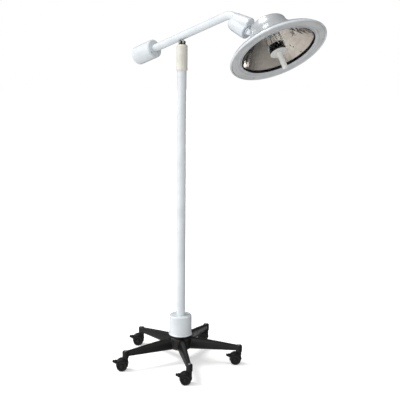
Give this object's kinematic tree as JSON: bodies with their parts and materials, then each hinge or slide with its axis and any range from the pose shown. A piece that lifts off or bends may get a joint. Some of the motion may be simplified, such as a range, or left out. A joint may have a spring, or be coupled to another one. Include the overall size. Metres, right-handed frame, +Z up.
{
  "type": "examination lamp",
  "caption": "Mobile examination lamp with a castored star base, slim column, counterbalanced tilting arm and a swivelling bell-shaped reflector head with a central handle.",
  "frame": {"origin": "on the floor, on the axis of the column", "axes": "+Z up along the column, +X along the balance arm towards the head, +Y to the left of it"},
  "size_m": [1.0533, 0.6156, 1.6289],
  "materials": {
    "white_paint": "satin powder coat, slightly bluish white",
    "white_enamel": "gloss white enamel on aluminium",
    "sleeve_white": "satin enamel, warm white",
    "black_cast": "semi-gloss black powder coat on cast iron",
    "black_moulding": "moulded black nylon",
    "black_rubber": "smooth black rubber",
    "bright_steel": "machined bright steel",
    "weight_paint": "satin powder coat on a steel billet",
    "bearing_polymer": "acetal bush",
    "copper_winding": "taped toroidal winding",
    "mirror": "faceted bright aluminium reflector",
    "clear_glass": "polished float glass",
    "filter_glass": "heat filter glass tube",
    "lamp_glass": "halogen capsule",
    "ceramic": "dark ceramic lamp holder",
    "white_polymer": "autoclavable white polymer"
  },
  "bodies": {
    "stand": {"star_base": "black_cast", "stem_caps": "bright_steel", "hub_flange": "black_moulding", "column": "white_paint", "lower_housing": "white_paint", "housing_cap": "white_paint", "transformer": "copper_winding", "power_inlet": "black_moulding", "bearing_sleeve": "sleeve_white", "spindle_bushes": "bearing_polymer", "thrust_washer": "bearing_polymer"},
    "rocker": {"rocker_switch": "black_moulding"},
    "fork": {"arm_fork": "black_cast", "fork_spindle": "bright_steel", "pivot_bolt": "bright_steel"},
    "arm": {"arm_lug": "white_paint", "arm_tube": "white_paint", "friction_washers": "bearing_polymer", "counterweight": "weight_paint", "counterweight_screw": "bright_steel", "neck_housing": "white_enamel", "neck_screws": "bright_steel", "swivel_bush": "bearing_polymer"},
    "swivel": {"head_spindle": "bright_steel", "tilt_bracket": "white_enamel", "tilt_pin": "bright_steel"},
    "head": {"head_lug": "white_enamel", "head_shell": "white_enamel", "rim_ring": "white_enamel", "rim_screws": "bright_steel", "front_glass": "clear_glass", "glass_seal": "black_rubber", "reflector": "mirror", "heat_filter": "filter_glass", "filter_frame": "bright_steel", "lamp_socket": "ceramic", "bulb": "lamp_glass", "centre_hub": "black_moulding"},
    "handle": {"handle_guard": "white_polymer", "handle_grip": "white_polymer"},
    "castor_1": {"castor_stem_1": "bright_steel", "castor_hood_1": "black_moulding"},
    "wheel_1": {"castor_wheels_1": "black_moulding"},
    "brake_1": {"brake_lever_1": "black_moulding"},
    "castor_2": {"castor_stem_2": "bright_steel", "castor_hood_2": "black_moulding"},
    "wheel_2": {"castor_wheels_2": "black_moulding"},
    "brake_2": {"brake_lever_2": "black_moulding"},
    "castor_3": {"castor_stem_3": "bright_steel", "castor_hood_3": "black_moulding"},
    "wheel_3": {"castor_wheels_3": "black_moulding"},
    "brake_3": {"brake_lever_3": "black_moulding"},
    "castor_4": {"castor_stem_4": "bright_steel", "castor_hood_4": "black_moulding"},
    "wheel_4": {"castor_wheels_4": "black_moulding"},
    "brake_4": {"brake_lever_4": "black_moulding"},
    "castor_5": {"castor_stem_5": "bright_steel", "castor_hood_5": "black_moulding"},
    "wheel_5": {"castor_wheels_5": "black_moulding"},
    "brake_5": {"brake_lever_5": "black_moulding"}
  },
  "joints": [
    {"name": "switch_rock", "type": "hinge", "parent": "stand", "child": "rocker", "pos_m": [-0.04124, 0.03085, 0.1885], "axis": [0.599, 0.8007, 0], "range_deg": [0, 14]},
    {"name": "arm_pan", "type": "hinge", "parent": "stand", "child": "fork", "pos_m": [0, 0, 1.49], "axis": [0, 0, 1], "range_deg": [-170, 170]},
    {"name": "arm_tilt", "type": "hinge", "parent": "fork", "child": "arm", "pos_m": [0, 0, 1.5064], "axis": [0, 1, 0], "range_deg": [-18, 38]},
    {"name": "head_swivel", "type": "hinge", "parent": "arm", "child": "swivel", "pos_m": [0.38354, 0, 1.54327], "axis": [0.8838, 0, -0.4679], "range_deg": [-150, 150]},
    {"name": "head_tilt", "type": "hinge", "parent": "swivel", "child": "head", "pos_m": [0.39944, 0, 1.53485], "axis": [-0.0973, 0.9781, -0.1837], "range_deg": [-15, 70]},
    {"name": "handle_pull", "type": "slide", "parent": "head", "child": "handle", "axis": [0.5496, -0.1011, -0.8293], "range_m": [0, 0.06]},
    {"name": "castor_turn_1", "type": "hinge", "parent": "stand", "child": "castor_1", "pos_m": [0.22741, -0.17012, 0.058], "axis": [0, 0, 1], "continuous": true},
    {"name": "wheel_spin_1", "type": "hinge", "parent": "castor_1", "child": "wheel_1", "pos_m": [0.21539, -0.18214, 0.025], "axis": [0.7071, -0.7071, 0], "continuous": true},
    {"name": "brake_press_1", "type": "hinge", "parent": "castor_1", "child": "brake_1", "pos_m": [0.19453, -0.203, 0.0415], "axis": [0.7071, -0.7071, 0], "range_deg": [0, 12]},
    {"name": "castor_turn_2", "type": "hinge", "parent": "stand", "child": "castor_2", "pos_m": [0.23207, 0.16371, 0.058], "axis": [0, 0, 1], "continuous": true},
    {"name": "wheel_spin_2", "type": "hinge", "parent": "castor_2", "child": "wheel_2", "pos_m": [0.22005, 0.15169, 0.025], "axis": [0.7071, -0.7071, 0], "continuous": true},
    {"name": "brake_press_2", "type": "hinge", "parent": "castor_2", "child": "brake_2", "pos_m": [0.19919, 0.13083, 0.0415], "axis": [0.7071, -0.7071, 0], "range_deg": [0, 12]},
    {"name": "castor_turn_3", "type": "hinge", "parent": "stand", "child": "castor_3", "pos_m": [-0.08398, 0.2713, 0.058], "axis": [0, 0, 1], "continuous": true},
    {"name": "wheel_spin_3", "type": "hinge", "parent": "castor_3", "child": "wheel_3", "pos_m": [-0.096, 0.25928, 0.025], "axis": [0.7071, -0.7071, 0], "continuous": true},
    {"name": "brake_press_3", "type": "hinge", "parent": "castor_3", "child": "brake_3", "pos_m": [-0.11686, 0.23842, 0.0415], "axis": [0.7071, -0.7071, 0], "range_deg": [0, 12]},
    {"name": "castor_turn_4", "type": "hinge", "parent": "stand", "child": "castor_4", "pos_m": [-0.28397, 0.00396, 0.058], "axis": [0, 0, 1], "continuous": true},
    {"name": "wheel_spin_4", "type": "hinge", "parent": "castor_4", "child": "wheel_4", "pos_m": [-0.29599, -0.00806, 0.025], "axis": [0.7071, -0.7071, 0], "continuous": true},
    {"name": "brake_press_4", "type": "hinge", "parent": "castor_4", "child": "brake_4", "pos_m": [-0.31685, -0.02891, 0.0415], "axis": [0.7071, -0.7071, 0], "range_deg": [0, 12]},
    {"name": "castor_turn_5", "type": "hinge", "parent": "stand", "child": "castor_5", "pos_m": [-0.09152, -0.26885, 0.058], "axis": [0, 0, 1], "continuous": true},
    {"name": "wheel_spin_5", "type": "hinge", "parent": "castor_5", "child": "wheel_5", "pos_m": [-0.10354, -0.28087, 0.025], "axis": [0.7071, -0.7071, 0], "continuous": true},
    {"name": "brake_press_5", "type": "hinge", "parent": "castor_5", "child": "brake_5", "pos_m": [-0.1244, -0.30173, 0.0415], "axis": [0.7071, -0.7071, 0], "range_deg": [0, 12]}
  ]
}
